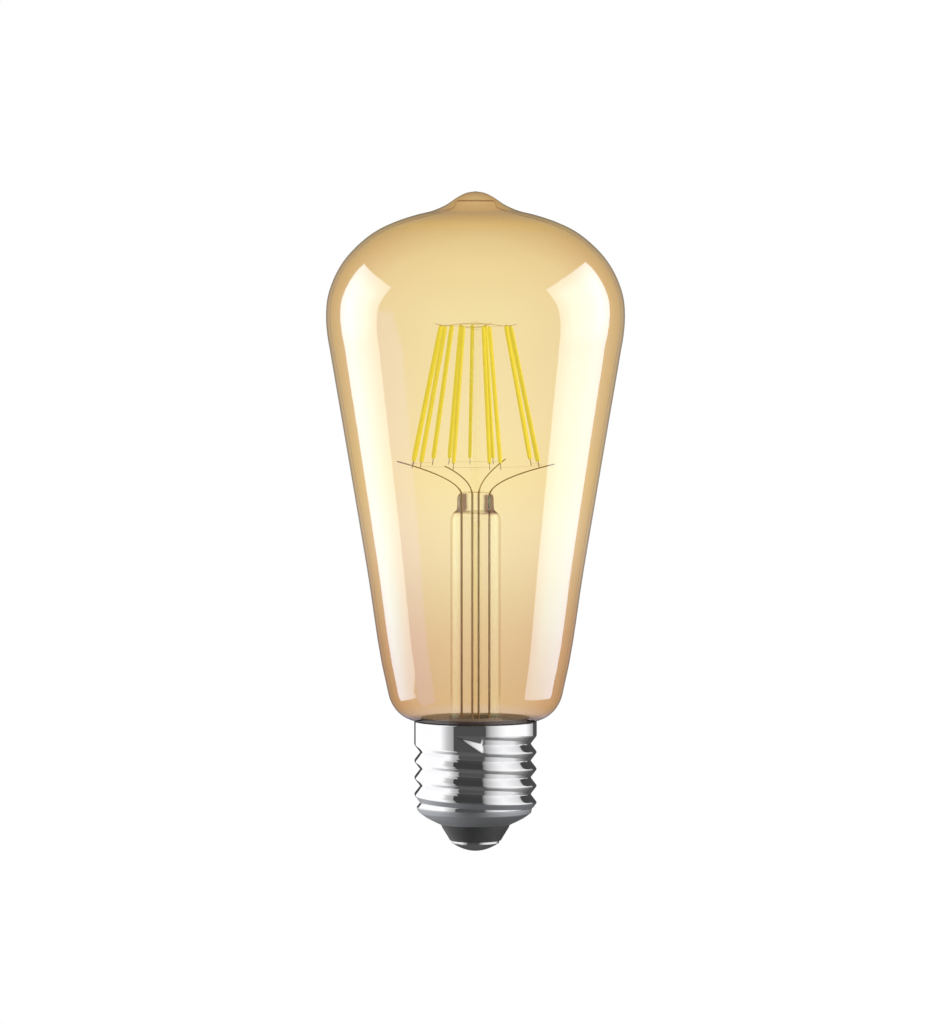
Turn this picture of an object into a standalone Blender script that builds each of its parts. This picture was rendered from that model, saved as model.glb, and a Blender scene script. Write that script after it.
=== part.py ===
"""Smart LED filament bulb: pear-shaped amber glass, twelve filaments, and an E27 screw cap.

Run with: blender --background --python part.py

Metres, +Z up. The origin is the bottom centre of the centre contact, and +Z runs up the bulb's
axis to the nipple of the glass. Azimuths are degrees from +X, seen from above.
"""

import math

import bmesh
import bpy
from mathutils import Matrix

MM = 0.001
PLAY = 0.3 * MM  # clearance between pieces that touch on the real bulb
BEVEL_ANGLE = 35  # edges that turn by more than this many degrees are rounded

# Glass envelope: outer outline from the nipple to the neck, as (radius, height) in millimetres
BULB_HEIGHT = 142.0
GLASS_WALL = 1.0 * MM
NECK_RADIUS = 11.6
NECK_FOOT = 20.3
NIPPLE = [(0, BULB_HEIGHT), (2.0, 141.65), (4.15, 140.55), (5.9, 139.35)]
DOME = [(8.6, 138.05), (12.95, 136.9), (17.4, 135.4), (21.4, 133.45), (25.3, 130.4)]
SHOULDER = [(28.4, 126.9), (30.55, 123.0), (31.8, 119.0), (32.1, 115.3), (31.85, 111.4)]
CONE = [(31.2, 107.5), (27.7, 86.9), (23.35, 61.0), (19.05, 35.3)]
HEEL = [(18.35, 32.6), (17.1, 30.5), (15.2, 29.05), (13.4, 28.45), (12.2, 28.2)]
NECK = [(NECK_RADIUS, 27.2), (NECK_RADIUS, NECK_FOOT)]
ENVELOPE_STEPS = 32

# Mount stem: a flare and tube with a pinched press on top, and four leads in line with it
STEM_WALL = 0.9 * MM
STEM_RADIUS = 5.35
STEM_FOOT = 20.6
STEM_SHOULDER = 71.4
STEM_TOP = 73.5
FLARE_RADIUS = 10.2
FLARE_TOP = 33.0
PRESS_AZIMUTH = 339
PRESS_LENGTH = 7.4 * MM
PRESS_WIDTH = 5.0 * MM
PRESS_BOTTOM = 72.3 * MM
PRESS_TOP = 77.4 * MM
PRESS_ROUNDING = 1.2 * MM
EXHAUST_RADIUS = 1.2
EXHAUST_BORE = 0.7
EXHAUST_FOOT = 24.0
EXHAUST_TOP = 71.0

# Leads: (azimuth, distance from the axis inside the stem), and the curve they flare out along
LEADS = [(69, 1.75 * MM), (159, 3.2 * MM), (249, 1.75 * MM), (339, 3.2 * MM)]
LEAD_RADIUS = 0.215 * MM
LEAD_EXIT = 76.6 * MM
LEAD_RISE = 7.1 * MM
LEAD_REACH = 18.1 * MM
LEAD_STRAIGHTENS = 23.0 * MM
LEAD_FOOT = 20.5 * MM
PAD_PITCH = 3.0 * MM
PAD_ORDER = (2, 0, 1, 3)  # each lead's place along the edge of the driver board
FLARE_POINTS = 9

# Support rod, hub bead and the two crown wires, each of which crosses the bead at its own height
ROD_RADIUS = 0.95
ROD_BOTTOM = PRESS_TOP + PLAY
BEAD_RADIUS = 1.45
BEAD_BOTTOM = 112.2
BEAD_TOP = 114.2
CROWN_HEIGHTS = {"a": 112.8 * MM, "b": 113.6 * MM}
CROWN_LEADS = {"a": (0, 2), "b": (1, 3)}
CROWN_REACH = 9.4 * MM
CROWN_LEVEL = 113.2 * MM
FINE_WIRE_RADIUS = 0.15 * MM
ARC_STEPS = 9

# Filaments: each lead feeds three, at these azimuths from its own
FANS = [(5.2, 25.8, 45), (-28.8, 1.9, 40), (-35.4, 1.4, 33.6), (-47.4, 3, 53)]
ARC_OVERHANG = 1.5  # degrees by which a wire goes on past the last filament it joins
FILAMENT_RADIUS = 0.45 * MM
FILAMENT_PIN = 0.18 * MM
FOOT_CIRCLE = 14.2 * MM
TOP_CIRCLE = 7.8 * MM
LINK_LEVEL = 83.3 * MM
PIN_BOTTOM = LINK_LEVEL + FINE_WIRE_RADIUS + PLAY
PIN_TOP = CROWN_LEVEL - FINE_WIRE_RADIUS - PLAY
PIN_LENGTH = 0.5 * MM

# E27 cap: pressed sheet with a thread of seven turns to the inch
SHEET = 0.3 * MM
CREST_RADIUS = 13.2 * MM
THREAD_DEPTH = 1.2 * MM
THREAD_PITCH = 25.4 / 7 * MM
THREAD_TURNS = 3.85
THREAD_HAND = -1  # -1 winds it left-handed and 1 right-handed
THREAD_START_AZIMUTH = 276.6
THREAD_START_HEIGHT = 23.9 * MM
THREAD_RUNOUT = 0.06  # turns over which a groove reaches its full depth
COLLAR_TOP = 28.0
THREAD_BOTTOM = 9.6
SHELL_STEPS = 32
SHELL_RINGS_PER_PITCH = 5
SHELL_TURN_IN = [(12.6, 9.0), (11.9, 8.2), (10.6, 7.2), (9.0, 6.3), (7.75, 5.8)]

# Insulator and centre contact
INSULATOR = [(0, 7.4), (8.3, 7.4), (8.6, 6.95), (7.35, 6.3), (7.35, 5.5), (5.5, 2.3), (0, 2.3)]
RIVET_RADIUS = 1.3
RIVET_TOP = 7.85
CONTACT_RADIUS = 5.1
CONTACT_DOME = 1.75
CONTACT_LAND = 1.6
CONTACT_TOP = 2.0

# Cement, sleeve and the driver inside the cap
CEMENT_HEIGHTS = (24.9, 26.5)
CEMENT_RADII = (NECK_RADIUS + 0.4, 12.6)
SLEEVE_HEIGHTS = (9.8, 18.2)
SLEEVE_RADII = (10.6, 11.1)
BOARD_SIZE = (17.0, 1.0, 11.4)
BOARD_CENTRE = (0, 0, 14.3)

# Driver parts in millimetres. Round ones on the front: radius, length, axis, centre across and up
ROUND_PARTS = {
    "bulk_capacitor": (3.1, 8.0, "Z", -4.6, 13.4),
    "power_inductor": (2.7, 5.0, "Z", 3.4, 12.2),
    "fusible_resistor": (1.1, 6.0, "X", 4.2, 17.4),
}

# Blocks on the back: size, and centre across and up
BLOCK_PARTS = {
    "bridge_rectifier": ((4.6, 1.5, 3.8), -5.4, 11.0),
    "driver_ic": ((4.9, 1.4, 3.9), 4.8, 11.0),
    "module_header": ((9.0, 2.4, 1.4), 0.0, 18.4),
}

# Radio board behind the header, with its shield can, as size and centre up
MODULE_SIZE = (11.0, 0.8, 10.5)
MODULE_LEVEL = 14.4
SHIELD_SIZE = (8.0, 1.8, 6.5)
SHIELD_LEVEL = 13.2

# Wires from the board to the rivet of the contact, and to the shell above the sleeve
SUPPLY_RADIUS = 0.2 * MM
SUPPLY_LINES = {
    "live_wire": [(-0.8, -1.0, 10.4), (-0.7, -1.0, 9.2), (-0.4, -0.95, 8.5), (0.3, -0.9, 8.35)],
    "neutral_wire": [(-8.0, 1.2, 17.0), (-8.4, 1.2, 18.4), (-9.4, 0.8, 19.1), (-11.2, 0.2, 19.4)],
}


def clear_scene():
    for obj in list(bpy.data.objects):
        bpy.data.objects.remove(obj)


def new_collection(name):
    group = bpy.data.collections.new(name)
    bpy.context.scene.collection.children.link(group)
    return group


def new_material(name, colour, roughness, metallic=0.0, transmission=0.0):
    material = bpy.data.materials.new(name)
    material.use_nodes = True
    shader = material.node_tree.nodes["Principled BSDF"]
    shader.inputs["Base Color"].default_value = (*colour, 1)
    shader.inputs["Roughness"].default_value = roughness
    shader.inputs["Metallic"].default_value = metallic
    shader.inputs["Transmission Weight"].default_value = transmission
    return material


def new_object(name, data, material, group):
    obj = bpy.data.objects.new(name, data)
    group.objects.link(obj)
    if material is not None:
        data.materials.append(material)
    return obj


def in_metres(points):
    return [(radius * MM, height * MM) for radius, height in points]


def smooth_line(points, steps):
    """A Catmull-Rom curve through the points, with this many spans between each two."""
    ends = [points[0], *points, points[-1]]
    line = [points[0]]
    for before, start, end, after in zip(ends, ends[1:], ends[2:], ends[3:]):
        for step in range(1, steps + 1):
            t = step / steps
            line.append(tuple(
                b + 0.5 * t * (c - a + t * (2 * a - 5 * b + 4 * c - d + t * (3 * (b - c) + d - a)))
                for a, b, c, d in zip(before, start, end, after)
            ))
    return line


def arc_points(radius, height, start, end, steps):
    """Points on a level circle about the axis, from one azimuth to another."""
    angles = [math.radians(start + (end - start) * step / steps) for step in range(steps + 1)]
    return [(radius * math.cos(angle), radius * math.sin(angle), height) for angle in angles]


def turned(name, profile, material, group, steps=24, closed=False):
    """A profile of (radius, height) in metres turned about Z. It runs down its outer side."""
    mesh = bpy.data.meshes.new(name)
    edges = [(index, index + 1) for index in range(len(profile) - 1)]
    if closed:
        edges.append((len(profile) - 1, 0))
    mesh.from_pydata([(radius, 0, height) for radius, height in profile], edges, [])
    obj = new_object(name, mesh, material, group)
    screw = obj.modifiers.new("Turn", "SCREW")
    screw.steps = screw.render_steps = steps
    screw.use_merge_vertices = True
    screw.merge_threshold = 1e-6
    screw.use_smooth_shade = True
    return obj


def tube(name, radii, heights, material, group, steps=32):
    """A plain upright ring with square edges. Its radii and heights are in millimetres."""
    inner, outer = radii
    bottom, top = heights
    profile = [(outer, top), (outer, bottom), (inner, bottom), (inner, top)]
    return turned(name, in_metres(profile), material, group, steps, closed=True)


def thicken(obj, wall):
    """Gives an open surface its wall, on the inner side."""
    solidify = obj.modifiers.new("Wall", "SOLIDIFY")
    solidify.thickness = wall
    solidify.offset = -1


def bevel(obj, width, segments):
    rounding = obj.modifiers.new("Edges", "BEVEL")
    rounding.width = width
    rounding.segments = segments
    rounding.limit_method = "ANGLE"
    rounding.angle_limit = math.radians(BEVEL_ANGLE)


def evaluated_mesh(obj):
    graph = bpy.context.evaluated_depsgraph_get()
    return bpy.data.meshes.new_from_object(obj.evaluated_get(graph))


def apply_modifiers(obj):
    mesh = evaluated_mesh(obj)
    obj.modifiers.clear()
    obj.data = mesh


def block(name, size, centre, material, group, rounding=0.2 * MM):
    mesh = bpy.data.meshes.new(name)
    form = bmesh.new()
    bmesh.ops.create_cube(form, size=1, matrix=Matrix.Diagonal((*size, 1)))
    form.to_mesh(mesh)
    form.free()
    obj = new_object(name, mesh, material, group)
    obj.location = centre
    if rounding:
        bevel(obj, rounding, 1)
    return obj


def drum(name, radius, length, centre, axis, material, group, rounding=0.3 * MM):
    """A cylinder with rounded rims, along the X or the Z axis."""
    mesh = bpy.data.meshes.new(name)
    form = bmesh.new()
    bmesh.ops.create_cone(
        form, cap_ends=True, segments=20, radius1=radius, radius2=radius, depth=length
    )
    form.to_mesh(mesh)
    form.free()
    mesh.shade_smooth()
    obj = new_object(name, mesh, material, group)
    obj.location = centre
    if axis == "X":
        obj.rotation_euler.y = math.pi / 2
    bevel(obj, rounding, 2)
    return obj


def wire(name, points, radius, material, group):
    """A round wire along straight spans between the points."""
    curve = bpy.data.curves.new(name, "CURVE")
    curve.dimensions = "3D"
    curve.bevel_depth = radius
    curve.bevel_resolution = 2
    curve.use_fill_caps = True
    spline = curve.splines.new("POLY")
    spline.points.add(len(points) - 1)
    for point, place in zip(spline.points, points):
        point.co = (*place, 1)
    return new_object(name, curve, material, group)


def wire_as_mesh(obj):
    """Swaps a wire for the same shape as a closed mesh, so that a Boolean can use it."""
    mesh = evaluated_mesh(obj)
    form = bmesh.new()
    form.from_mesh(mesh)
    bmesh.ops.remove_doubles(form, verts=form.verts, dist=1e-7)
    form.to_mesh(mesh)
    form.free()
    name, group, place = obj.name, obj.users_collection[0], obj.matrix_world.copy()
    bpy.data.objects.remove(obj)
    solid = new_object(name, mesh, None, group)
    solid.name = name
    solid.matrix_world = place
    return solid


def boolean(obj, other, operation):
    modifier = obj.modifiers.new(operation.title(), "BOOLEAN")
    modifier.operation = operation
    modifier.object = other
    modifier.solver = "EXACT"


def as_helper(obj):
    obj.hide_render = True
    obj.display_type = "WIRE"
    return obj


def make_envelope(glass, group):
    outline = NIPPLE + DOME + SHOULDER + CONE + HEEL + NECK
    envelope = turned("glass_envelope", in_metres(outline), glass, group, ENVELOPE_STEPS)
    thicken(envelope, GLASS_WALL)


def stem_outline():
    """The stem's outer outline: shoulder, straight tube, and the flare that widens to the neck."""
    drop = STEM_TOP - STEM_SHOULDER
    quarter = [math.radians(90 * step / 4) for step in range(5)]
    shoulder = [(STEM_RADIUS * math.sin(a), STEM_SHOULDER + drop * math.cos(a)) for a in quarter]
    width, height = FLARE_RADIUS - STEM_RADIUS, FLARE_TOP - STEM_FOOT
    flare = [
        (STEM_RADIUS + width * (1 - math.cos(a)), FLARE_TOP - height * math.sin(a)) for a in quarter
    ]
    return shoulder + flare


def make_stem(glass, group, cutters):
    """Flare, tube and press as one glass body, bored for the four leads."""
    stem = turned("stem_glass", in_metres(stem_outline()), glass, group, 24)
    thicken(stem, STEM_WALL)
    middle = (PRESS_BOTTOM + PRESS_TOP) / 2
    size = (PRESS_LENGTH, PRESS_WIDTH, PRESS_TOP - PRESS_BOTTOM)
    press = block("stem_press", size, (0, 0, middle), None, cutters, PRESS_ROUNDING)
    press.rotation_euler.z = math.radians(PRESS_AZIMUTH)
    boolean(stem, as_helper(press), "UNION")
    for number, (azimuth, distance) in enumerate(LEADS, 1):
        x, y = polar(distance, azimuth)
        ends = [(x, y, STEM_SHOULDER * MM - 2 * STEM_WALL), (x, y, PRESS_TOP + STEM_WALL)]
        bore = wire(f"lead_bore_{number}", ends, LEAD_RADIUS + PLAY / 2, None, cutters)
        boolean(stem, as_helper(wire_as_mesh(bore)), "DIFFERENCE")


def make_exhaust_tube(glass, group):
    """Narrow tube, open under the press and melted shut at its foot."""
    profile = [
        (0, EXHAUST_FOOT + 1.2),
        (EXHAUST_BORE, EXHAUST_FOOT + 2.0),
        (EXHAUST_BORE, EXHAUST_TOP),
        (EXHAUST_RADIUS, EXHAUST_TOP),
        (EXHAUST_RADIUS, EXHAUST_FOOT + 1.5),
        (EXHAUST_RADIUS / 2, EXHAUST_FOOT + 0.3),
        (0, EXHAUST_FOOT),
    ]
    turned("exhaust_tube", in_metres(profile), glass, group, 12)


def polar(distance, azimuth):
    angle = math.radians(azimuth)
    return distance * math.cos(angle), distance * math.sin(angle)


def lead_points(index):
    """From the board's edge up the stem, through the press, and out along half a parabola."""
    azimuth, start = LEADS[index]
    pad = (PAD_ORDER[index] - 1.5) * PAD_PITCH
    points = [(pad, 0, LEAD_FOOT), (*polar(start, azimuth), LEAD_STRAIGHTENS)]
    for step in range(FLARE_POINTS):
        share = step / (FLARE_POINTS - 1)
        distance = start + (LEAD_REACH - start) * share**2
        points.append((*polar(distance, azimuth), LEAD_EXIT + LEAD_RISE * share))
    return points


def joining_arc(radius, height, index):
    """Points of the level arc that joins a lead's three filaments and passes the lead itself."""
    azimuth, fan = LEADS[index][0], FANS[index]
    start = azimuth + min(0, *fan) - ARC_OVERHANG
    end = azimuth + max(0, *fan) + ARC_OVERHANG
    return arc_points(radius, height, start, end, ARC_STEPS)


def make_leads(nickel, group):
    for index in range(len(LEADS)):
        wire(f"lead_wire_{index + 1}", lead_points(index), LEAD_RADIUS, nickel, group)


def make_support(glass, group, cutters):
    """Rod and bead. The bead is bored across for each crown wire."""
    rod_top = (BEAD_BOTTOM - 0.3) * MM
    length = rod_top - ROD_BOTTOM
    centre = (0, 0, (rod_top + ROD_BOTTOM) / 2)
    drum("support_rod", ROD_RADIUS * MM, length, centre, "Z", glass, group, 0.2 * MM)
    middle = (BEAD_BOTTOM + BEAD_TOP) / 2
    half = (BEAD_TOP - BEAD_BOTTOM) / 2
    angles = [math.radians(180 * step / 6) for step in range(7)]
    profile = [(BEAD_RADIUS * math.sin(a), middle + half * math.cos(a)) for a in angles]
    profile[0] = (0, BEAD_TOP)
    profile[-1] = (0, BEAD_BOTTOM)
    bead = turned("hub_bead", in_metres(profile), glass, group, 16)
    for key, height in CROWN_HEIGHTS.items():
        first = LEADS[CROWN_LEADS[key][0]][0]
        ends = [(*polar(side * 2 * BEAD_RADIUS * MM, first), height) for side in (-1, 1)]
        bore = wire(f"crown_bore_{key}", ends, FINE_WIRE_RADIUS + PLAY / 3, None, cutters)
        boolean(bead, as_helper(wire_as_mesh(bore)), "DIFFERENCE")


def crown_points(key):
    """A crown wire's main span: level through the bead, then up or down to the filament tops."""
    height = CROWN_HEIGHTS[key]
    first, second = (LEADS[index][0] for index in CROWN_LEADS[key])
    level = 2 * BEAD_RADIUS * MM
    return [
        (*polar(CROWN_REACH, first), CROWN_LEVEL),
        (*polar(level, first), height),
        (*polar(level, second), height),
        (*polar(CROWN_REACH, second), CROWN_LEVEL),
    ]


def make_crown_wires(nickel, group, cutters):
    """Each crown wire has an arc welded on at both ends, over the tops of three filaments."""
    for key, pair in CROWN_LEADS.items():
        span = wire(f"crown_wire_{key}", crown_points(key), FINE_WIRE_RADIUS, nickel, group)
        span = wire_as_mesh(span)
        span.data.materials.append(nickel)
        for index in pair:
            points = joining_arc(TOP_CIRCLE, CROWN_LEVEL, index)
            arc = wire(f"crown_arc_{index + 1}", points, FINE_WIRE_RADIUS, None, cutters)
            boolean(span, as_helper(wire_as_mesh(arc)), "UNION")


def make_link_wires(nickel, group):
    for index in range(len(LEADS)):
        points = joining_arc(FOOT_CIRCLE, LINK_LEVEL, index)
        wire(f"link_wire_{index + 1}", points, FINE_WIRE_RADIUS, nickel, group)


def make_filaments(phosphor, group):
    """Twelve coated strips with a pin at each end, all leaning in towards the crown."""
    lean = math.atan2(FOOT_CIRCLE - TOP_CIRCLE, PIN_TOP - PIN_BOTTOM)
    length = math.hypot(FOOT_CIRCLE - TOP_CIRCLE, PIN_TOP - PIN_BOTTOM)
    profile = [
        (0, length),
        (FILAMENT_PIN, length),
        (FILAMENT_PIN, length - PIN_LENGTH),
        (FILAMENT_RADIUS, length - PIN_LENGTH - FILAMENT_PIN),
        (FILAMENT_RADIUS, PIN_LENGTH + FILAMENT_PIN),
        (FILAMENT_PIN, PIN_LENGTH),
        (FILAMENT_PIN, 0),
        (0, 0),
    ]
    number = 0
    for (azimuth, _), fan in zip(LEADS, FANS):
        for offset in fan:
            number += 1
            obj = turned(f"filament_{number:02d}", profile, phosphor, group, 8)
            turn = math.radians(azimuth + offset)
            obj.location = (*polar(FOOT_CIRCLE, azimuth + offset), PIN_BOTTOM)
            obj.rotation_euler = (0, -lean, turn)


def groove_depth(azimuth, height):
    """How far the thread presses the sheet in at this azimuth and height."""
    turn = (THREAD_HAND * (THREAD_START_AZIMUTH - azimuth) % 360) / 360
    depth = 0.0
    while turn <= THREAD_TURNS:
        off = (height - THREAD_START_HEIGHT + turn * THREAD_PITCH) / THREAD_PITCH
        if abs(off) < 0.5:
            fade = min(1.0, turn / THREAD_RUNOUT, (THREAD_TURNS - turn) / THREAD_RUNOUT)
            depth += fade * THREAD_DEPTH * (1 + math.cos(2 * math.pi * off)) / 2
        turn += 1
    return depth


def make_screw_shell(nickel, group):
    """Turned tube of sheet metal, pressed into a thread."""
    crest = CREST_RADIUS / MM
    spacing = THREAD_PITCH / MM / SHELL_RINGS_PER_PITCH
    rings = round((COLLAR_TOP - THREAD_BOTTOM) / spacing)
    step = (COLLAR_TOP - THREAD_BOTTOM) / rings
    profile = [(crest, COLLAR_TOP - step * ring) for ring in range(rings + 1)] + SHELL_TURN_IN
    shell = turned("screw_shell", in_metres(profile), nickel, group, SHELL_STEPS)
    apply_modifiers(shell)
    for vertex in shell.data.vertices:
        azimuth = math.degrees(math.atan2(vertex.co.y, vertex.co.x))
        radius = math.hypot(vertex.co.x, vertex.co.y)
        share = 1 - groove_depth(azimuth, vertex.co.z) / radius
        vertex.co.x *= share
        vertex.co.y *= share
    thicken(shell, SHEET)


def make_insulator(vitrite, group, cutters):
    """Dark cone under the shell, with a flange inside it and a hole for the contact's rivet."""
    obj = turned("base_insulator", in_metres(INSULATOR), vitrite, group, 32)
    ends = [(0, 0, 0), (0, 0, 2 * INSULATOR[0][1] * MM)]
    bore = wire("rivet_bore", ends, RIVET_RADIUS * MM + PLAY, None, cutters)
    boolean(obj, as_helper(wire_as_mesh(bore)), "DIFFERENCE")


def make_contact(alloy, group):
    """Shallow dome with a small flat land underneath and a rivet that goes up through the cone."""
    dome = [(CONTACT_RADIUS * share, CONTACT_DOME * share**2) for share in (1, 0.8, 0.6, 0.45)]
    top = [(0, RIVET_TOP), (RIVET_RADIUS, RIVET_TOP), (RIVET_RADIUS, CONTACT_TOP)]
    profile = top + [(CONTACT_RADIUS, CONTACT_TOP)] + dome + [(CONTACT_LAND, 0), (0, 0)]
    turned("center_contact", in_metres(profile), alloy, group, 24)


def make_cap_lining(materials, group):
    tube("basing_cement", CEMENT_RADII, CEMENT_HEIGHTS, materials["cement"], group)
    tube("insulating_sleeve", SLEEVE_RADII, SLEEVE_HEIGHTS, materials["sleeve"], group)


def scaled(values):
    return tuple(value * MM for value in values)


def make_driver(materials, group):
    """Upright board with the power parts in front and the radio module behind it."""
    block("driver_board", scaled(BOARD_SIZE), scaled(BOARD_CENTRE), materials["board"], group, 0)
    face = BOARD_SIZE[1] / 2 + PLAY / MM
    for name, (radius, length, axis, across, up) in ROUND_PARTS.items():
        centre = scaled((across, -face - radius, up))
        drum(name, radius * MM, length * MM, centre, axis, materials[name], group)
    for name, (size, across, up) in BLOCK_PARTS.items():
        centre = scaled((across, face + size[1] / 2, up))
        block(name, scaled(size), centre, materials["component"], group)
    module_face = face + BLOCK_PARTS["module_header"][0][1] + PLAY / MM
    centre = scaled((0, module_face + MODULE_SIZE[1] / 2, MODULE_LEVEL))
    block("wireless_module", scaled(MODULE_SIZE), centre, materials["radio_board"], group, 0)
    shield_face = module_face + MODULE_SIZE[1] + PLAY / MM
    centre = scaled((0, shield_face + SHIELD_SIZE[1] / 2, SHIELD_LEVEL))
    block("module_shield", scaled(SHIELD_SIZE), centre, materials["tinned"], group, 0.3 * MM)


def make_supply_wires(materials, group):
    for name, points in SUPPLY_LINES.items():
        places = [scaled(point) for point in smooth_line(points, 3)]
        wire(name, places, SUPPLY_RADIUS, materials[name], group)


def make_materials():
    return {
        "envelope": new_material("amber_glass", (0.83, 0.55, 0.2), 0.05, transmission=1),
        "clear": new_material("clear_glass", (0.9, 0.9, 0.88), 0.05, transmission=1),
        "nickel": new_material("nickel_wire", (0.55, 0.5, 0.42), 0.35, 1),
        "phosphor": new_material("phosphor", (0.78, 0.62, 0.08), 0.55),
        "shell": new_material("nickel_plate", (0.82, 0.82, 0.81), 0.18, 1),
        "vitrite": new_material("black_insulator", (0.05, 0.05, 0.05), 0.35),
        "contact": new_material("contact_metal", (0.45, 0.45, 0.44), 0.4, 1),
        "cement": new_material("cement", (0.42, 0.36, 0.28), 0.9),
        "sleeve": new_material("sleeve", (0.75, 0.73, 0.66), 0.6),
        "board": new_material("circuit_board", (0.03, 0.2, 0.08), 0.5),
        "radio_board": new_material("radio_board", (0.02, 0.03, 0.12), 0.45),
        "component": new_material("component_black", (0.03, 0.03, 0.035), 0.5),
        "bulk_capacitor": new_material("capacitor_sleeve", (0.02, 0.03, 0.08), 0.4),
        "power_inductor": new_material("ferrite", (0.09, 0.08, 0.08), 0.6),
        "fusible_resistor": new_material("resistor_coat", (0.3, 0.45, 0.35), 0.5),
        "tinned": new_material("tinned_steel", (0.7, 0.7, 0.7), 0.3, 1),
        "live_wire": new_material("live_insulation", (0.5, 0.03, 0.02), 0.5),
        "neutral_wire": new_material("neutral_insulation", (0.03, 0.06, 0.4), 0.5),
    }


def main():
    clear_scene()
    parts = new_collection("smart_filament_bulb")
    cutters = new_collection("cutters")
    materials = make_materials()
    make_envelope(materials["envelope"], parts)
    make_stem(materials["clear"], parts, cutters)
    make_exhaust_tube(materials["clear"], parts)
    make_support(materials["clear"], parts, cutters)
    make_leads(materials["nickel"], parts)
    make_crown_wires(materials["nickel"], parts, cutters)
    make_link_wires(materials["nickel"], parts)
    make_filaments(materials["phosphor"], parts)
    make_screw_shell(materials["shell"], parts)
    make_insulator(materials["vitrite"], parts, cutters)
    make_contact(materials["contact"], parts)
    make_cap_lining(materials, parts)
    make_driver(materials, parts)
    make_supply_wires(materials, parts)


main()
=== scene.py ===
"""Looks of the smart filament bulb: amber glass, filament mount, nickel screw cap, white studio.

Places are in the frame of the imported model: +Z is the bulb's axis, -Y faces the camera, and
azimuths are degrees from +X, seen from above. Lengths are in millimetres, except those of the
camera, the lamps and the materials' relief, which are in metres.
"""

import math
import random

import bpy
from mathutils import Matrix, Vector


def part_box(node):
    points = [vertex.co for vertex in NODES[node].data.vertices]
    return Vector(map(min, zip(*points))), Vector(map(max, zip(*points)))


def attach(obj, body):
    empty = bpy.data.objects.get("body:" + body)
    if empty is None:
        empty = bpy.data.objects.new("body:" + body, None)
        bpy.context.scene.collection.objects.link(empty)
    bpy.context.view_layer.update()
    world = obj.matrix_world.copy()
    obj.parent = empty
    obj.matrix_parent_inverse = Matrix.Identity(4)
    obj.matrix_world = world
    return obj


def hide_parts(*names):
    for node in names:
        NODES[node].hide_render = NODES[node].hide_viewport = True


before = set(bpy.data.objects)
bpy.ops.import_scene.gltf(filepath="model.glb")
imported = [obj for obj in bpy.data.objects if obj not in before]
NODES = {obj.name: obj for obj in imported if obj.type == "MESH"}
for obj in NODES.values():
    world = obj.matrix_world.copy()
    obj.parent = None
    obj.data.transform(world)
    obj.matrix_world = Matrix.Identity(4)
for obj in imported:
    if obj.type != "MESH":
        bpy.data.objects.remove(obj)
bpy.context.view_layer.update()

MM = 0.001
SHARP_ANGLE = 35  # degrees above which an edge is shaded sharp

# ------ places, read from the frame
GLASS_LOW, GLASS_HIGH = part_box("glass_envelope")
STEM_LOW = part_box("stem_glass")[0]
SHELL_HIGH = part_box("screw_shell")[1]
ROD_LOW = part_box("support_rod")[0]
BEAD_LOW, BEAD_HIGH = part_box("hub_bead")
INSULATOR_LOW, INSULATOR_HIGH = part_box("base_insulator")

# ------ driving dimensions
BULB_HEIGHT = GLASS_HIGH.z / MM
NECK_FOOT = GLASS_LOW.z / MM
NECK_RADIUS = 11.6
GLASS_WALL = 0.85
# The outline as (radius, height) from the top down, in stretches
NIPPLE = [(0, BULB_HEIGHT), (2.0, 141.65), (4.15, 140.55), (5.9, 139.35)]
DOME = [(8.6, 138.05), (12.95, 136.9), (17.4, 135.4), (21.4, 133.45), (25.3, 130.4)]
SHOULDER = [(28.4, 126.9), (30.55, 123.0), (31.8, 119.0), (32.1, 115.3), (31.85, 111.4)]
CONE = [(31.2, 107.5), (27.7, 86.9), (23.35, 61.0), (19.05, 35.3)]
HEEL = [(18.35, 32.6), (17.1, 30.5), (15.6, 29.15), (14.3, 28.5), (13.3, 28.2), (12.2, 28.1)]
NECK = [(NECK_RADIUS, 27.2), (NECK_RADIUS, NECK_FOOT)]
NIPPLE_CAVITY = [(0, 140.1), (2.6, 140.1), (4.0, 139.98), (4.4, 139.6), (4.4, 139.1), (4.8, 138.5)]
CAVITY_JOINS_DOME = 6.2  # radius from which the inside of the glass follows its outside
GLASS_STEPS = 160

# Heights up to which the neck and the stem's foot show the cement that joins them
NECK_CEMENT_LEVEL = 28.9
STEM_CEMENT_LEVEL = 28.7

STEM_RADIUS = 5.35
STEM_WALL = 0.9
STEM_SHOULDER = 71.4
FLARE_TOP = 33.0
FLARE_RADIUS = 10.3
PRESS_AZIMUTH = 339
PRESS_SECTIONS = [  # (height, half length, half width, squareness) from the shoulder to the top
    (STEM_SHOULDER, STEM_RADIUS, STEM_RADIUS, 2.0),
    (72.3, 5.15, 5.05, 2.0),
    (72.95, 4.7, 4.3, 2.1),
    (73.35, 4.2, 3.2, 2.6),
    (73.8, 3.85, 2.55, 3.6),
    (75.0, 3.75, 2.4, 4.0),
    (76.4, 3.7, 2.3, 4.0),
    (77.0, 3.45, 2.1, 3.6),
    (77.3, 2.9, 1.7, 3.0),
    (77.4, 1.6, 0.9, 2.4),
]

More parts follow.
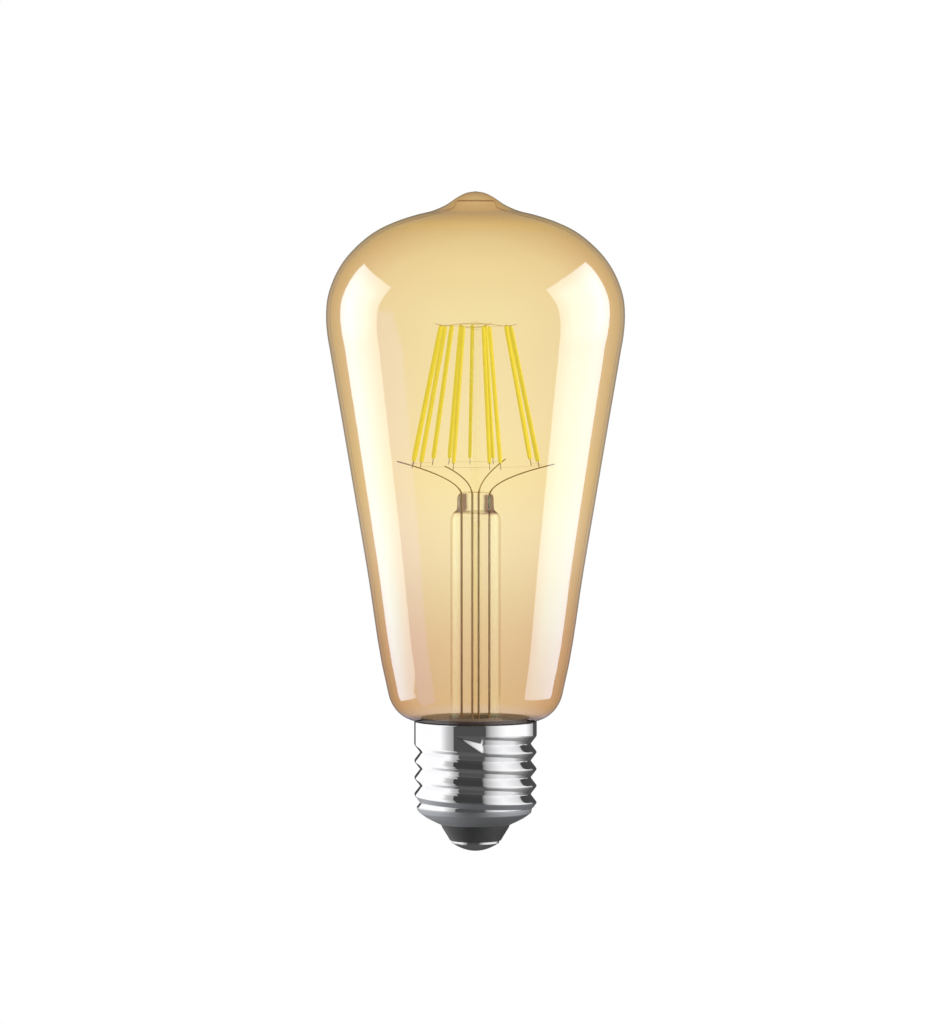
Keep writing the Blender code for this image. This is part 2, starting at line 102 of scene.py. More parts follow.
LEADS = [(69, 1.9), (159, 3.2), (249, 1.9), (339, 3.2)]  # (azimuth, distance from the axis)
LEAD_RADIUS = 0.25
LEAD_TIP_RADIUS = 0.13
LEAD_EXIT = 76.6  # height at which the leads leave the press and start to sweep outward
LEAD_RISE = 7.1
LEAD_REACH = 18.1
LEAD_SWEEP_STEPS = 24
LEAD_SLIMS_OVER = 0.25  # share of the sweep over which a lead gets thinner
LEAD_FOOT = 20.5
LEAD_STRAIGHT = (23.4, 30, 70)  # heights at which a lead stands upright in the stem
PAD_ORDER = (2, 0, 1, 3)  # solder pad of each lead along the board
PAD_PITCH = 3.0

FANS = [  # degrees from each lead to its three filaments
    (5.2, 25.8, 45), (-28.8, 1.9, 40), (-35.4, 1.4, 33.6), (-47.4, 3, 53),
]
ARC_OVERHANG = 1.5
ARC_SPANS = 24
FOOT_CIRCLE = 14.2
TOP_CIRCLE = 7.8
LINK_LEVEL = 83.3
CROWN_LEVEL = 113.2
CROWN_HEIGHTS = {"a": 112.8, "b": 113.6}
CROWN_LEADS = {"a": (0, 2), "b": (1, 3)}
CROWN_REACH = 9.4
CROWN_TIP_LIFT = 0.35
CROWN_INNER = 2.5  # distance from the axis up to which a spoke runs straight through the bead
SPOKE_RADIUS = 0.055
ARC_RADIUS = 0.025
FILAMENT_WIDTH = 0.98
FILAMENT_THICKNESS = 0.8
FILAMENT_SPANS = 28
FILAMENT_END = 0.86  # share of its section that a filament has at its very ends
FILAMENT_ROUNDING = 12  # how fast the section grows to its full size, per share of the length
FILAMENT_SWELL = 0.02
FILAMENT_DRIFT = 0.8  # degrees by which a filament may stand off its place
RANDOM_SEED = 7
FOOT_GAP = 0.9  # from the level of the link wires to the coating
TOP_GAP = 0.1
PIN_REACH = 1.5
PIN_TOP_REACH = 0.15
PIN_HOLD = 0.6  # length of the pin inside the coating
PIN_WIDTH = 0.2
PIN_THICKNESS = 0.12

ROD_RADIUS = 0.95
ROD_SINK = 0.4  # how deep the rod stands in the press
ROD_OVERLAP = 0.1
ROD_FOOT = [(0.5, 0.0), (0.2, 0.3), (0.0, 1.0)]  # (extra radius, height above the lower end)
BEAD_RADIUS = 1.45
BEAD_HALF = 0.85
BEAD_FULLNESS = 0.8  # exponent below 1, which makes the bead fuller than an ellipse

SHEET = 0.3
CREST_RADIUS = 13.2
THREAD_DEPTH = 1.25
THREAD_PITCH = 25.4 / 7
THREAD_TURNS = 3.85
THREAD_HAND = -1  # -1 winds it left-handed and 1 right-handed
THREAD_START_AZIMUTH = 276.6
THREAD_START_HEIGHT = 23.98
THREAD_FADE = 0.12  # turns over which the last groove loses its lower flank
THREAD_FOOT_DEPTH = 0.75  # share of the depth that stays pressed in below the last crest
THREAD_FOOT = 8.3  # height down to which that open groove reaches
THREAD_FLANK = 0.87  # share of half a pitch that one flank takes
THREAD_VALLEY = 0.06  # roundness of the valleys
THREAD_CREST = 0.1  # roundness of the crests
RUN_IN = 26.6  # degrees over which a wedge opens before the first groove
RUN_IN_DEPTH = 0.85
SHELL_TOP = SHELL_HIGH.z / MM
SHELL_STEPS = 360
SHELL_RINGS_PER_MM = 9
SHELL_RIM = [(SHEET / 2, 0.0), (0.05, 0.03)]  # (distance in from the crest, drop from the top)
SHELL_RIM_DROP = 0.12
THREAD_BOTTOM = 9.4
SHELL_TURN_IN = [(12.7, 8.9), (11.9, 8.2), (10.6, 7.25), (9.0, 6.4), (7.75, 5.8)]

INSULATOR_TOP = INSULATOR_HIGH.z / MM
INSULATOR_BOTTOM = INSULATOR_LOW.z / MM
INSULATOR_BORE = 1.7
INSULATOR_SEAT = [(8.3, INSULATOR_TOP), (8.6, 6.95), (7.45, 6.3)]  # held by the shell's foot
INSULATOR_CONE = [(7.45, 5.7), (7.13, 4.95), (6.72, 4.3), (6.32, 3.66), (5.92, 3.0),
                  (5.6, INSULATOR_BOTTOM + 0.15)]
INSULATOR_LIP = 5.5

CONTACT_RADIUS = 5.1
CONTACT_DOME = 1.75
CONTACT_STEPS = 16
CONTACT_RIVET = [(0, 7.85), (1.0, 7.85), (1.3, 7.6), (1.3, 2.25)]
CONTACT_RIM = [(4.1, 2.25), (CONTACT_RADIUS - 0.06, 2.25), (CONTACT_RADIUS, 2.2)]

CAMERA_DISTANCE = 1.5
CAMERA_ELEVATION = 2.94
CAMERA_TARGET = 0.0731
FRAME_HEIGHT = 0.2202  # height that the picture covers at the bulb's axis
FLOOR_DROP = 0.35
FLOOR_RADII = (0, 1500, 4000)
FLOOR_STEPS = 64
LAMP_SIZE = (0.5, 0.7)
LAMP_RISE = 0.15  # how far a lamp hangs above the middle of the bulb, in metres
LAMP_POWERS = {"lamp_right": (75, 6), "lamp_left": (-75, 0.6)}  # (azimuth, watts)

# Flat panels far out at the sides. Each has its azimuth from the camera's side, then its left,
# right, lower and upper edges as (tangent, slope). The tangent is of the angle to that edge, and
# the slope is how much it leans.
LEFT_PANEL = (-104, (-0.465, -0.1), (0.42, 0.13), (-0.425, 0), (0.67, 0))
RIGHT_PANEL = (98, (-0.585, -0.17), (0.56, 0.2), (-0.455, 0.2), (0.75, 0))
DIM_PANEL = (-104, (0.3, 0.13), (0.85, -0.3), (-0.92, 0), (0.15, 0))
PANEL_EDGE = (3.9, 4.9, 6.2)
PANEL_CORE = (4.6, 9.2, 11.0)
DIM_PANEL_COLOUR = (0.4, 0.55, 2.4)
BACKDROP = 1.07
BACKDROP_ENDS = (0.75, 0.9)  # how straight ahead of the camera the white backdrop ends
FLAG_COLOUR = (0.3, 0.23, 0.25)
AMBIENT = 1.0
PANEL_SOFTNESS = 0.02
PANEL_CORE_SOFTNESS = 0.3
DIM_SOFTNESS = 0.12
ROOM_COLOUR = (0.08, 0.08, 0.09)

# Whiteness of the room that mirrors in the cap, by direction across: in front and behind
ROOM_SPAN = 1.6
ROOM_FRONT = [(-0.97, 1.0), (-0.908, 0.73), (-0.835, 0.5), (-0.7, 0.32), (-0.68, 0.0), (0.335, 0.0),
              (0.35, 0.14), (0.47, 0.41), (0.586, 0.57), (0.69, 0.73), (0.787, 0.87), (0.9, 1.0)]
ROOM_BACK = [(-0.46, 1.0), (-0.44, 0.0), (0.69, 0.0), (0.71, 0.42), (0.8, 0.5), (0.93, 0.8),
             (0.99, 1.0)]
ROOM_NARROWS = (0.42, 0.65)  # how much narrower the dark is straight up and down, in each
# How that white falls off towards the back on the right, below and above the horizon
ROOM_BELOW = [(0.0, 0.8), (0.12, 0.62), (0.36, 0.28), (0.6, 0.1)]
ROOM_ABOVE = [(0.0, 0.93), (0.36, 0.72), (0.47, 0.6), (0.53, 0.0)]
ROOM_UNDERSIDE = (0.3, 0.3, 0.31)  # what is left of it steeply below
ROOM_WHITE = (1.05, 1.05, 1.06)
ROOM_DARK = [(0.0, 0.105), (0.5, 0.072), (1.0, 0.045)]  # from straight below to straight above
# Bounds between the parts of that room, as parts of a unit vector
ROOM_HORIZON = (-0.02, 0.02)
ROOM_TURNS_BACK = (-0.05, 0.05)
ROOM_STEEP = (0.1, 0.35)
ROOM_RIGHT = (-0.1, 0.3)
ROOM_LOW = (-0.62, -0.9)
GRAZING = 0.05  # how far in front of a panel a direction must point to meet it


# ------ mesh helpers
def polar(distance, azimuth):
    angle = math.radians(azimuth)
    return distance * math.cos(angle), distance * math.sin(angle)


def tangents(points, gaps):
    """The direction of the curve at each point, weighted towards the nearer neighbour."""
    slopes = [
        tuple((b - a) / gap for a, b in zip(start, end))
        for start, end, gap in zip(points, points[1:], gaps)
    ]
    inner = [
        tuple((a * far + b * near) / (near + far) for a, b in zip(before, after))
        for before, after, near, far in zip(slopes, slopes[1:], gaps, gaps[1:])
    ]
    return [slopes[0], *inner, slopes[-1]]


def smooth_line(points, steps):
    """A smooth curve through the points, with this many spans between each two."""
    gaps = [math.dist(start, end) for start, end in zip(points, points[1:])]
    lean = tangents(points, gaps)
    line = [points[0]]
    for index, gap in enumerate(gaps):
        ends = zip(points[index], points[index + 1], lean[index], lean[index + 1])
        start, end, leave, arrive = zip(*ends)
        for step in range(1, steps + 1):
            t = step / steps
            line.append(tuple(
                a + t * t * (3 - 2 * t) * (b - a) + gap * t * (1 - t) * ((1 - t) * c - t * d)
                for a, b, c, d in zip(start, end, leave, arrive)
            ))
    return line


def inward(points, distance):
    """The (radius, height) line moved towards its left-hand side, which is inside the glass."""
    moved = []
    for index, (radius, height) in enumerate(points):
        before = points[max(index - 1, 0)]
        after = points[min(index + 1, len(points) - 1)]
        along = (after[0] - before[0], after[1] - before[1])
        length = math.hypot(*along)
        moved.append((radius + distance * along[1] / length, height - distance * along[0] / length))
    return moved


def placed(name, data):
    """A new object in the scene."""
    obj = bpy.data.objects.new(name, data)
    bpy.context.scene.collection.objects.link(obj)
    return obj


def new_piece(name, vertices, faces, material, replaced=()):
    """A smooth-shaded mesh from points in millimetres, riding on the bulb's one body."""
    mesh = bpy.data.meshes.new(name)
    mesh.from_pydata([tuple(value * MM for value in vertex) for vertex in vertices], [], faces)
    mesh.validate()
    mesh.shade_smooth()
    mesh.set_sharp_from_angle(angle=math.radians(SHARP_ANGLE))
    mesh.materials.append(material)
    return enlist(placed(name, mesh), replaced)


def enlist(obj, replaced=()):
    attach(obj, "root")
    if replaced:
        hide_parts(*replaced)
    return obj


def rings_to_mesh(rings, closed=False):
    """Vertices and faces of a skin over equal rings of points. A ring of one point is a pole."""
    vertices = [point for ring in rings for point in ring]
    starts = [0]
    for ring in rings:
        starts.append(starts[-1] + len(ring))
    faces = []
    pairs = list(zip(range(len(rings) - 1), range(1, len(rings))))
    if closed:
        pairs.append((len(rings) - 1, 0))
    for upper, lower in pairs:
        count = max(len(rings[upper]), len(rings[lower]))
        for side in range(count):
            after = (side + 1) % count
            corners = []
            for ring, column in ((upper, side), (lower, side), (lower, after), (upper, after)):
                corner = starts[ring] + (column if len(rings[ring]) > 1 else 0)
                if corner not in corners:
                    corners.append(corner)
            faces.append(corners)
    return vertices, faces


def turned_rings(profile, steps):
    """Rings about the axis for a (radius, height) profile. Points on the axis become poles."""
    rings = []
    for radius, height in profile:
        if radius < 1e-6:
            rings.append([(0, 0, height)])
        else:
            rings.append([(*polar(radius, 360 * step / steps), height) for step in range(steps)])
    return rings


def turned(name, profile, material, replaced=(), steps=96, closed=False):
    vertices, faces = rings_to_mesh(turned_rings(profile, steps), closed)
    return new_piece(name, vertices, faces, material, replaced)


def wire(name, points, radius, material, replaced=(), resolution=4, tapers=None):
    """A round wire through the points, in millimetres. tapers are shares of the radius."""
    curve = bpy.data.curves.new(name, "CURVE")
    curve.dimensions = "3D"
    curve.bevel_depth = radius * MM
    curve.bevel_resolution = resolution
    curve.use_fill_caps = True
    spline = curve.splines.new("POLY")
    spline.points.add(len(points) - 1)
    for point, place in zip(spline.points, points):
        point.co = (*(value * MM for value in place), 1)
    for point, share in zip(spline.points, tapers or ()):
        point.radius = share
    spline.use_smooth = True
    curve.materials.append(material)
    return enlist(placed(name, curve), replaced)


# ------ material helpers
class Recipe:
    """The nodes of a material or a world, built one at a time."""

    def __init__(self, owner, output="ShaderNodeOutputMaterial"):
        owner.use_nodes = True
        self.owner = owner
        self.tree = owner.node_tree
        self.tree.nodes.clear()
        self.out = self.node(output)

    def node(self, kind, settings=None, **inputs):
        """A node with its settings and inputs. An input is a value or another node's output."""
        made = self.tree.nodes.new(kind)
        for name, value in (settings or {}).items():
            setattr(made, name, value)
        for name, value in inputs.items():
            self.feed(made, name.replace("_", " "), value)
        return made

    def feed(self, node, socket, value):
        target = node.inputs[socket]
        if isinstance(value, bpy.types.NodeSocket):
            self.tree.links.new(value, target)
        else:
            target.default_value = value

    def maths(self, operation, first, second=0.0):
        node = self.node("ShaderNodeMath", {"operation": operation})
        self.feed(node, 0, first)
        self.feed(node, 1, second)
        return node.outputs[0]

    def times(self, first, second):
        return self.maths("MULTIPLY", first, second)

    def dot(self, first, second):
        node = self.node("ShaderNodeVectorMath", {"operation": "DOT_PRODUCT"})
        self.feed(node, 0, first)
        self.feed(node, 1, second)
        return node.outputs["Value"]

    def rescale(self, value, low, high, to_low=0.0, to_high=1.0):
        node = self.node("ShaderNodeMapRange", Value=value)
        for socket, limit in zip((1, 2, 3, 4), (low, high, to_low, to_high)):
            self.feed(node, socket, limit)
        return node.outputs[0]

    def ramp(self, value, stops):
        """A colour ramp. stops are (position, colour)."""
        node = self.node("ShaderNodeValToRGB", Fac=value)
        ramp = node.color_ramp
        while len(ramp.elements) < len(stops):
            ramp.elements.new(0.5)
        for element, (position, colour) in zip(ramp.elements, stops):
            element.position = position
            element.color = (*colour, 1)
        return node.outputs["Color"]

    def grey_ramp(self, value, stops, strength=1.0):
        """A ramp of greys. stops are (position, level)."""
        return self.ramp(value, [(place, (level * strength,) * 3) for place, level in stops])

    def mix(self, factor, first, second, blend="MIX"):
        node = self.node("ShaderNodeMix", {"data_type": "RGBA", "blend_type": blend})
        self.feed(node, 0, factor)
        self.feed(node, 6, first if isinstance(first, bpy.types.NodeSocket) else (*first, 1))
        self.feed(node, 7, second if isinstance(second, bpy.types.NodeSocket) else (*second, 1))
        return node.outputs[2]

    def mottle(self, grain, dark, light):
        """Two colours mixed by the middle of a noise's range."""
        return self.mix(self.vary(grain), dark, light)

    def vary(self, grain, low=0.0, high=1.0):
        """The middle of a noise's range, stretched from low to high."""
        return self.rescale(grain, *NOISE_MIDDLE, low, high)

    def tinted(self, colour, tint):
        return self.mix(1.0, colour, tint, "MULTIPLY")

    def place(self):
        return self.node("ShaderNodeTexCoord").outputs["Object"]

    def height(self):
        return self.node("ShaderNodeSeparateXYZ", Vector=self.place()).outputs["Z"]

    def rise(self, height, limits):
        """Grows from 0 to 1 between two heights in millimetres."""
        return self.rescale(height, *(limit * MM for limit in limits))

    def facing(self):
        """0 where a surface faces the ray and 1 where it is seen edge-on."""
        return self.node("ShaderNodeLayerWeight", Blend=0.5).outputs["Facing"]

    def noise(self, scale, detail=3.0, roughness=0.5, stretch=(1, 1, 1)):
        """Noise whose scale is in cycles a metre, stretched along the axes."""
        mapping = self.node("ShaderNodeMapping", Vector=self.place(), Scale=stretch)
        made = self.node("ShaderNodeTexNoise", Vector=mapping.outputs[0], Scale=scale,
                         Detail=detail, Roughness=roughness)
        return made.outputs["Fac"]

    def bump(self, height, distance, strength=1.0):
        return self.node("ShaderNodeBump", Height=height, Distance=distance,
                         Strength=strength).outputs[0]

    def surface(self, colour, rough, normal, **inputs):
        return self.finish(self.node("ShaderNodeBsdfPrincipled", Base_Color=colour,
                                     Roughness=rough, Normal=normal, **inputs))

    def mix_shaders(self, factor, first, second):
        mixed = self.node("ShaderNodeMixShader")
        for socket, value in enumerate((factor, first.outputs[0], second.outputs[0])):
            self.feed(mixed, socket, value)
        return mixed

    def finish(self, shader):
        self.feed(self.out, "Surface", shader.outputs[0])
        return self.owner

    def finish_glass(self, shader, tint):
        """Glass that lets lamps and soft light through, tinted and unbent.

        What reflects in rough metal doesn't show the glass at all.
        """
        path = self.node("ShaderNodeLightPath")
        soft = self.maths("MAXIMUM", path.outputs["Is Shadow Ray"], path.outputs["Is Diffuse Ray"])
        rough = self.times(path.outputs["Is Glossy Ray"],
                           self.maths("SUBTRACT", 1.0, path.outputs["Is Singular Ray"]))
        clear = self.node("ShaderNodeBsdfTransparent", Color=self.mix(rough, tint, (1, 1, 1)))
        return self.finish(self.mix_shaders(self.maths("MAXIMUM", soft, rough), shader, clear))


def new_look(name):
    return Recipe(bpy.data.materials.new(name))


# ------ materials
NOISE_MIDDLE = (0.3, 0.7)
# Tint of one wall of the envelope by height
AMBER_BY_HEIGHT = [
    (28.2, (0.6, 0.58, 0.56)), (28.6, (0.62, 0.6, 0.58)),
    (28.8, (0.87, 0.82, 0.77)), (29.4, (0.85, 0.77, 0.68)),
    (30.5, (0.85, 0.71, 0.5)), (33, (0.835, 0.69, 0.49)),
    (37, (0.838, 0.697, 0.505)), (45.6, (0.867, 0.73, 0.541)),
    (54, (0.892, 0.787, 0.583)), (63, (0.935, 0.845, 0.642)),
    (71, (0.952, 0.872, 0.656)), (80, (0.964, 0.876, 0.614)),
    (93, (0.95, 0.865, 0.626)), (116.6, (0.93, 0.84, 0.6)),
    (122, (0.925, 0.828, 0.58)), (127, (0.925, 0.828, 0.57)),
    (132.7, (0.906, 0.815, 0.547)), (134.8, (0.93, 0.835, 0.533)),
    (137, (0.87, 0.765, 0.51)), (139, (0.84, 0.73, 0.48)),
    (140.5, (0.83, 0.72, 0.47)), (142, (0.72, 0.64, 0.46)),
]
# Changes of the glasses' tints from facing to edge-on
AMBER_EDGE = [
    (0.0, (1.0, 1.0, 1.0)),
    (0.3, (0.97, 0.94, 0.95)),
    (0.56, (0.915, 0.84, 0.82)),
    (0.69, (0.864, 0.786, 0.738)),
    (0.8, (0.80, 0.746, 0.78)),
    (0.9, (0.591, 0.581, 0.68)),
    (1.0, (0.473, 0.473, 0.578)),
]
CLEAR_EDGE = [
    (0.0, (1.0, 1.0, 1.0)),
    (0.55, (1.0, 0.99, 0.985)),
    (0.75, (0.93, 0.87, 0.78)),
    (0.9, (0.66, 0.54, 0.4)),
    (1.0, (0.4, 0.3, 0.2)),
]
ROD_EDGE = [(0.0, (0.99, 0.98, 0.92)), (0.75, (0.98, 0.96, 0.88)), (1.0, (0.6, 0.5, 0.36))]
STREAK_TINT = (0.9, 0.76, 0.5)
STREAK_DEPTH = 0.04
# Painted shade on the press's end faces and edges, a dark purple-brown
PRESS_END_PAINTED_SHADE = (0.13, 0.075, 0.1)
# A painted dark brown line of shade round the stem where its tube narrows into the press, and its
# strength
SHOULDER_SHADE_TINT = (0.4, 0.3, 0.2)
SHOULDER_SHADE_DEPTH = 0.75
# Painted shade tint of the nipple cavity's rim, where seen edge-on, and its ceiling
CAVITY_PAINTED_SHADE = (0.6, 0.48, 0.38)
# Heights between which a look grows in: none at the first, full at the second
FLARE_CLEARS = (34.0, 32.5)
PRESS_STARTS, PRESS_ENDS = (72.6, 73.0), (77.2, 76.8)
SHOULDER_SHADE_STARTS, SHOULDER_SHADE_ENDS = (72.85, 72.95), (73.3, 73.2)
CAVITY_RIM = (137.5, 138.0)
CAVITY_CEILING = (139.7, 139.9)
LEAD_SHEATHED = (77.5, 76.5)
# Heights below which the shell's underside and foot get painted shade and more roughness
SHELL_SHADED_UNDERSIDE = (12.2, 11.8)
SHELL_SHADED_FOOT = (9.6, 9.1)
# The same for the way a surface faces
PRESS_END_FACES = (0.2, 0.45)
PRESS_END_EDGES = (0.68, 0.9)
CAVITY_RIM_EDGES = (0.7, 0.93)
UNDERSIDE_FACES = (-0.25, -0.45)
WALL_IOR = 1.001
GLASS_IOR = 1.45
SHINE_BY_FACING = [(0.0, 1.0), (0.5, 0.95), (0.56, 0.85), (0.69, 0.52), (0.8, 0.34), (0.9, 0.18),
                   (1.0, 0.08)]
CLEAR_SHINE = 0.4
ROD_SHINE = 0.25
SHEATH_COLOUR = (0.5, 0.45, 0.42)
SHEATH_DEPTH = 0.85
CAP_LOOKS = [  # (nodes, name, dark and light, grain in cycles a metre, roughness, metallic, relief)
    (["basing_cement"], "cement", (0.3, 0.25, 0.19), (0.5, 0.44, 0.35), 900, 0.85, 0.0, 0.0001),
    (["insulating_sleeve"], "fibre_sleeve", (0.66, 0.62, 0.52), (0.8, 0.77, 0.68), 700, 0.65),
    (["driver_board"], "solder_mask", (0.015, 0.13, 0.05), (0.03, 0.2, 0.08), 1200, 0.4),
    (["wireless_module"], "radio_board", (0.012, 0.02, 0.09), (0.02, 0.035, 0.14), 1200, 0.4),
    (["module_shield"], "tinned_shield", (0.55, 0.55, 0.55), (0.72, 0.72, 0.71), 800, 0.3, 1.0),
    (["module_header", "bridge_rectifier", "driver_ic"], "moulded_black", (0.02, 0.02, 0.022),
     (0.04, 0.04, 0.042), 1500, 0.5),
    (["bulk_capacitor"], "capacitor_sleeve", (0.012, 0.02, 0.06), (0.03, 0.04, 0.1), 600, 0.35),
    (["power_inductor"], "ferrite", (0.05, 0.045, 0.045), (0.11, 0.1, 0.1), 2000, 0.6),
    (["fusible_resistor"], "resistor_coat", (0.18, 0.33, 0.26), (0.3, 0.45, 0.36), 900, 0.45),
    (["live_wire"], "red_insulation", (0.42, 0.02, 0.015), (0.55, 0.04, 0.03), 900, 0.45),
    (["neutral_wire"], "blue_insulation", (0.02, 0.05, 0.32), (0.04, 0.08, 0.45), 900, 0.45),
]
NECK_CEMENT_LOOK = ("neck_cement", (0.36, 0.42, 0.54), (0.45, 0.52, 0.66), 900, 0.8)
# Painted shade colour of the shell where it turns in and faces down, and the extra roughness there
NICKEL_PAINTED_SHADE = (0.46, 0.475, 0.495)
TURN_IN_EXTRA_ROUGHNESS = 0.5
# Strength of a painted glow that brightens the filaments' coat
PHOSPHOR_PAINTED_GLOW = 0.28


def thin_glass(recipe, tint, shine, waves):
    """Glass with hardly any bending, as a thin wall has, and a coat that gives its reflections."""
    behind = recipe.node("ShaderNodeNewGeometry").outputs["Backfacing"]
    shine = recipe.times(shine, recipe.maths("SUBTRACT", 1.0, behind))
    glass = recipe.node("ShaderNodeBsdfPrincipled", Base_Color=tint, Roughness=0.0, IOR=WALL_IOR,
                        Transmission_Weight=1.0, Coat_Weight=shine, Coat_Roughness=0.0,
                        Coat_IOR=GLASS_IOR)
    recipe.feed(glass, "Coat Normal", waves)
    return recipe.finish_glass(glass, tint)


def amber_glass():
    """Tinted blown glass: darker towards its ends and edges, with faint drawn streaks.

    A ray meets the outer skin once for each wall, so the skin carries the whole wall's tint.
    """
    recipe = new_look("amber_glass")
    share = recipe.maths("DIVIDE", recipe.height(), BULB_HEIGHT * MM)
    tint = recipe.ramp(share, [(height / BULB_HEIGHT, colour) for height, colour in AMBER_BY_HEIGHT])
    facing = recipe.facing()
    tint = recipe.tinted(tint, recipe.ramp(facing, AMBER_EDGE))
    streaks = recipe.noise(60, 4, 0.55, (1, 1, 0.2))
    tint = recipe.mix(recipe.rescale(streaks, 0.35, 0.65, 0, STREAK_DEPTH), tint, STREAK_TINT)
    tint = recipe.tinted(tint, tint)
    waves = recipe.bump(recipe.noise(28, 2, 0.4, (1, 1, 0.5)), 0.00001)
    return thin_glass(recipe, tint, recipe.grey_ramp(facing, SHINE_BY_FACING), waves)


def drawn_glass(recipe, facing, edge, veil_depth, veil_tint):
    """Colour of clear drawn glass with a faint veil, and its waves."""
    veil = recipe.vary(recipe.noise(180, 3, 0.5, (1, 1, 0.15)), 0, veil_depth)
    waves = recipe.bump(recipe.noise(120, 2, 0.4, (1, 1, 0.3)), 0.00001)
    return recipe.mix(veil, recipe.ramp(facing, edge), veil_tint), waves


def stem_glass():
    """Clear drawn glass that shows mainly as thin dark outlines. The pressed ends are painted dark,
    as shade.
    """
    recipe = new_look("stem_glass")
    facing = recipe.facing()
    colour, waves = drawn_glass(recipe, facing, CLEAR_EDGE, 0.012, (0.9, 0.88, 0.85))
    along_press = (*polar(1, PRESS_AZIMUTH), 0)
    end = recipe.dot(recipe.node("ShaderNodeTexCoord").outputs["Normal"], along_press)
    near_end = recipe.rescale(end, *PRESS_END_FACES)
    on_end = recipe.maths("MAXIMUM", near_end, recipe.rescale(facing, *PRESS_END_EDGES))
    height = recipe.height()
    colour = recipe.mix(recipe.rise(height, FLARE_CLEARS), colour, (1, 1, 1))
    # A painted line of shade round the shoulder of the press
    shoulder_shade = recipe.times(recipe.rise(height, SHOULDER_SHADE_STARTS), recipe.rise(height, SHOULDER_SHADE_ENDS))
    colour = recipe.mix(recipe.times(shoulder_shade, SHOULDER_SHADE_DEPTH), colour, SHOULDER_SHADE_TINT)
    # The press's end faces, and its edges seen edge-on, are painted dark as shade
    in_press = recipe.times(recipe.rise(height, PRESS_STARTS), recipe.rise(height, PRESS_ENDS))
    colour = recipe.mix(recipe.times(on_end, in_press), colour, PRESS_END_PAINTED_SHADE)
    shine = recipe.grey_ramp(facing, SHINE_BY_FACING, CLEAR_SHINE)
    return thin_glass(recipe, colour, shine, waves)


def rod_glass():
    """Clear glass of the rod, the bead and the exhaust tube, with hardly any outline."""
    recipe = new_look("rod_glass")
    facing = recipe.facing()
    colour, waves = drawn_glass(recipe, facing, ROD_EDGE, 0.02, (0.92, 0.9, 0.86))
    return thin_glass(recipe, colour, recipe.grey_ramp(facing, SHINE_BY_FACING, ROD_SHINE), waves)


def inner_skin():
    """The inner side of a glass wall. The outer side already shows the wall's tint and shine."""
    recipe = new_look("inner_skin")
    veil = recipe.noise(150, 3, 0.5)
    tint = recipe.mottle(veil, (1, 1, 1), (0.995, 0.99, 0.985))
    facing = recipe.facing()
    height = recipe.height()
    # The cavity's rim seen edge-on and its ceiling get a painted dark brown shade
    rim = recipe.times(recipe.rise(height, CAVITY_RIM), recipe.rescale(facing, *CAVITY_RIM_EDGES))
    ceiling = recipe.rise(height, CAVITY_CEILING)
    tint = recipe.mix(recipe.maths("MAXIMUM", rim, ceiling), tint, CAVITY_PAINTED_SHADE)
    waves = recipe.bump(recipe.noise(28, 2, 0.4), 0.00001)
    return thin_glass(recipe, tint, 0.0, waves)


def drawn_wire(recipe, colour, roughness):
    """Half-metallic surface with the fine lines of a drawn wire."""
    rough = recipe.vary(recipe.noise(1500, 2), *roughness)
    drawn = recipe.bump(recipe.noise(4000, 2, 0.5, (1, 1, 0.05)), 0.00001)
    return recipe.surface(colour, rough, drawn, Metallic=0.3)


def lead_metal():
    """Nickel-iron wire with an olive-brown oxide, and the copper sheath that seals into glass."""
    recipe = new_look("lead_metal")
    stain = recipe.noise(900, 4, 0.6, (1, 1, 0.3))
    colour = recipe.mottle(stain, (0.38, 0.27, 0.12), (0.5, 0.38, 0.19))
    sheathed = recipe.rise(recipe.height(), LEAD_SHEATHED)
    colour = recipe.mix(recipe.times(sheathed, SHEATH_DEPTH), colour, SHEATH_COLOUR)
    return drawn_wire(recipe, colour, (0.45, 0.6))


def fine_wire_metal():
    """Thin bright wire with a gold cast from the tinted glass around it."""
    recipe = new_look("fine_wire_metal")
    colour = recipe.mottle(recipe.noise(1200, 4, 0.6), (0.72, 0.55, 0.3), (0.86, 0.7, 0.42))
    return drawn_wire(recipe, colour, (0.4, 0.55))


def phosphor():
    """Lemon silicone coat of the filaments, grainy with phosphor, with a faint painted glow."""
    recipe = new_look("phosphor")
    grain = recipe.noise(2600, 5, 0.65)
    clouds = recipe.noise(260, 3, 0.5)
    colour = recipe.mix(recipe.rescale(grain, 0.35, 0.65), (0.76, 0.76, 0.11), (0.83, 0.84, 0.16))
    colour = recipe.mix(recipe.rescale(clouds, 0.35, 0.7, 0, 0.3), colour, (0.7, 0.66, 0.09))
    skin = recipe.bump(recipe.noise(1800, 3), 0.00003, 0.6)
    rough = recipe.vary(grain, 0.5, 0.65)
    # A faint painted glow in the coat's own colour
    return recipe.surface(colour, rough, skin, Emission_Color=colour,
                          Emission_Strength=PHOSPHOR_PAINTED_GLOW)


